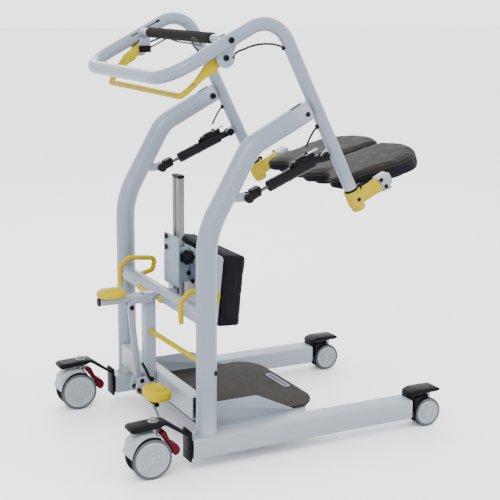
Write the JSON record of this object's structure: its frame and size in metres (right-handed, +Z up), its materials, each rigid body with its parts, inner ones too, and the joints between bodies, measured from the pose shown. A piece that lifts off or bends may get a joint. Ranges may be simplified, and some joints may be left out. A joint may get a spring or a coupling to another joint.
{
  "type": "sit to stand lift",
  "caption": "Sit-to-stand patient lift on four castors, with two bent uprights, gas-sprung lift arms, a split swing-aside seat, a knee pad, a footplate and foot pedals.",
  "frame": {"origin": "middle of the footprint on the floor", "axes": "+X towards the patient's end, +Y towards the far side, +Z up"},
  "size_m": [0.8757, 0.587, 1.0637],
  "materials": {
    "frame": "light blue-grey powder coat, semi-gloss",
    "black_plastic": "black moulded plastic",
    "hood_plastic": "light grey moulded plastic",
    "yellow": "yellow powder coat",
    "yellow_plastic": "yellow moulded plastic",
    "crimson": "crimson moulded plastic",
    "zinc": "zinc plated steel",
    "aluminium": "anodised extrusion",
    "seat_cover": "dark grey-brown wipe-clean cover over foam",
    "knee_cover": "near-black wipe-clean cover over foam",
    "foam": "closed-cell foam grip",
    "mat": "dark taupe moulded mat",
    "wheel": "grey tyres on light grey discs",
    "light": "light grey plastic"
  },
  "bodies": {
    "base": {"near_leg": "frame", "far_leg": "frame", "near_upright": "frame", "far_upright": "frame", "near_lift_pivot_bolt": "zinc", "far_lift_pivot_bolt": "zinc", "near_strap_hook": "yellow", "far_strap_hook": "yellow", "near_rear_castor_bracket": "black_plastic", "far_rear_castor_bracket": "black_plastic", "near_front_castor_bracket": "black_plastic", "far_front_castor_bracket": "black_plastic", "rear_cross_beam": "frame", "cross_tube": "frame", "centre_post": "frame", "mast": "aluminium", "mast_cap": "black_plastic", "lower_bar": "yellow", "footplate_tray": "frame", "footplate_mat": "mat"},
    "arms": {"near_arm_tube": "frame", "far_arm_tube": "frame", "near_seat_hinge_casting": "yellow", "far_seat_hinge_casting": "yellow", "near_release_cable": "black_plastic", "far_release_cable": "black_plastic", "handle_loop": "frame", "grip_bar": "frame", "grip_foam": "foam"},
    "bail": {"release_bail": "yellow"},
    "knee_support": {"knee_carriage": "zinc", "knee_plate": "light", "knee_pad": "knee_cover"},
    "knee_knob": {"knee_knob": "black_plastic"},
    "pedal_lever": {"upper_pedal_lever": "frame", "upper_pedal_pad": "yellow_plastic"},
    "pedal_link": {"pedal_link": "frame"},
    "lower_pedal": {"lower_pedal_arm": "black_plastic", "lower_pedal_pad": "yellow_plastic"},
    "near_gas_cylinder": {"near_gas_spring_cylinder": "black_plastic"},
    "near_gas_rod": {"near_gas_spring_rod": "black_plastic"},
    "near_seat": {"near_seat_bracket": "light", "near_seat_pad": "seat_cover"},
    "near_rear_castor": {"near_rear_castor_hood": "hood_plastic"},
    "near_rear_wheel_pair": {"near_rear_castor_wheels": "wheel"},
    "near_brake": {"near_brake_pedal": "crimson"},
    "near_front_castor": {"near_front_castor_hood": "black_plastic"},
    "near_front_wheel_pair": {"near_front_castor_wheels": "wheel"},
    "far_gas_cylinder": {"far_gas_spring_cylinder": "black_plastic"},
    "far_gas_rod": {"far_gas_spring_rod": "black_plastic"},
    "far_seat": {"far_seat_bracket": "light", "far_seat_pad": "seat_cover"},
    "far_rear_castor": {"far_rear_castor_hood": "hood_plastic"},
    "far_rear_wheel_pair": {"far_rear_castor_wheels": "wheel"},
    "far_brake": {"far_brake_pedal": "crimson"},
    "far_front_castor": {"far_front_castor_hood": "black_plastic"},
    "far_front_wheel_pair": {"far_front_castor_wheels": "wheel"}
  },
  "joints": [
    {"name": "lift", "type": "hinge", "parent": "base", "child": "arms", "pos_m": [0.015, 0, 0.84], "axis": [0, 1, 0], "range_deg": [-35, 4]},
    {"name": "near_gas_rod_tilt", "type": "hinge", "parent": "base", "child": "near_gas_rod", "pos_m": [-0.128, -0.26, 0.649], "axis": [0, 1, 0], "range_deg": [-6, 1]},
    {"name": "near_gas_cylinder_tilt", "type": "hinge", "parent": "arms", "child": "near_gas_cylinder", "pos_m": [0.07731, -0.26, 0.73576], "axis": [0, 1, 0], "range_deg": [-4, 30], "deforming": ["near_release_cable"]},
    {"name": "near_seat_flip", "type": "hinge", "parent": "arms", "child": "near_seat", "pos_m": [0.169, -0.26, 0.622], "axis": [0.891, 0, 0.454], "range_deg": [0, 50]},
    {"name": "near_rear_castor_swivel", "type": "hinge", "parent": "base", "child": "near_rear_castor", "pos_m": [-0.373, -0.26, 0.05], "axis": [0, 0, 1], "continuous": true},
    {"name": "near_rear_wheel_pair_spin", "type": "hinge", "parent": "near_rear_castor", "child": "near_rear_wheel_pair", "pos_m": [-0.386, -0.26, 0.05], "axis": [0, 1, 0], "continuous": true},
    {"name": "near_brake_press", "type": "hinge", "parent": "near_rear_castor", "child": "near_brake", "pos_m": [-0.342, -0.26, 0.098], "axis": [0, 1, 0], "range_deg": [0, 5]},
    {"name": "near_front_castor_swivel", "type": "hinge", "parent": "base", "child": "near_front_castor", "pos_m": [0.411, -0.26, 0.0388], "axis": [0, 0, 1], "continuous": true},
    {"name": "near_front_wheel_pair_spin", "type": "hinge", "parent": "near_front_castor", "child": "near_front_wheel_pair", "pos_m": [0.399, -0.26, 0.0388], "axis": [0, 1, 0], "continuous": true},
    {"name": "far_gas_rod_tilt", "type": "hinge", "parent": "base", "child": "far_gas_rod", "pos_m": [-0.128, 0.26, 0.649], "axis": [0, 1, 0], "range_deg": [-6, 1]},
    {"name": "far_gas_cylinder_tilt", "type": "hinge", "parent": "arms", "child": "far_gas_cylinder", "pos_m": [0.07731, 0.26, 0.73576], "axis": [0, 1, 0], "range_deg": [-4, 30], "deforming": ["far_release_cable"]},
    {"name": "far_seat_flip", "type": "hinge", "parent": "arms", "child": "far_seat", "pos_m": [0.169, 0.26, 0.622], "axis": [-0.891, 0, -0.454], "range_deg": [0, 50]},
    {"name": "far_rear_castor_swivel", "type": "hinge", "parent": "base", "child": "far_rear_castor", "pos_m": [-0.373, 0.26, 0.05], "axis": [0, 0, 1], "continuous": true},
    {"name": "far_rear_wheel_pair_spin", "type": "hinge", "parent": "far_rear_castor", "child": "far_rear_wheel_pair", "pos_m": [-0.386, 0.26, 0.05], "axis": [0, 1, 0], "continuous": true},
    {"name": "far_brake_press", "type": "hinge", "parent": "far_rear_castor", "child": "far_brake", "pos_m": [-0.342, 0.26, 0.098], "axis": [0, 1, 0], "range_deg": [0, 5]},
    {"name": "far_front_castor_swivel", "type": "hinge", "parent": "base", "child": "far_front_castor", "pos_m": [0.411, 0.26, 0.0388], "axis": [0, 0, 1], "continuous": true},
    {"name": "far_front_wheel_pair_spin", "type": "hinge", "parent": "far_front_castor", "child": "far_front_wheel_pair", "pos_m": [0.399, 0.26, 0.0388], "axis": [0, 1, 0], "continuous": true},
    {"name": "bail_squeeze", "type": "hinge", "parent": "arms", "child": "bail", "pos_m": [-0.188, 0, 0.973], "axis": [0, 1, 0], "range_deg": [0, 6]},
    {"name": "knee_height", "type": "slide", "parent": "base", "child": "knee_support", "axis": [0, 0, 1], "range_m": [-0.012, 0.13]},
    {"name": "knee_knob_turn", "type": "hinge", "parent": "knee_support", "child": "knee_knob", "pos_m": [-0.187, -0.046, 0.466], "axis": [0, 1, 0], "continuous": true},
    {"name": "pedal_press", "type": "hinge", "parent": "base", "child": "pedal_lever", "pos_m": [-0.276, 0, 0.363], "axis": [0, 1, 0], "range_deg": [-5.5, 0], "stiffness_Nm_per_rad": 9, "springref_deg": 11.46},
    {"name": "pedal_link_tilt", "type": "hinge", "parent": "pedal_lever", "child": "pedal_link", "pos_m": [-0.326, 0, 0.342], "axis": [0, 1, 0], "range_deg": [0, 7]},
    {"name": "lower_pedal_press", "type": "hinge", "parent": "base", "child": "lower_pedal", "pos_m": [-0.278, 0, 0.15], "axis": [0, 1, 0], "range_deg": [-13, 0]}
  ],
  "couplings": [
    {"joint": "near_gas_rod_tilt", "follows": "lift", "ratio": 0.165},
    {"joint": "near_gas_cylinder_tilt", "follows": "lift", "ratio": -0.835},
    {"joint": "far_gas_rod_tilt", "follows": "lift", "ratio": 0.165},
    {"joint": "far_gas_cylinder_tilt", "follows": "lift", "ratio": -0.835},
    {"joint": "pedal_link_tilt", "follows": "pedal_press", "ratio": -1.085},
    {"joint": "lower_pedal_press", "follows": "pedal_press", "ratio": 1.97}
  ]
}
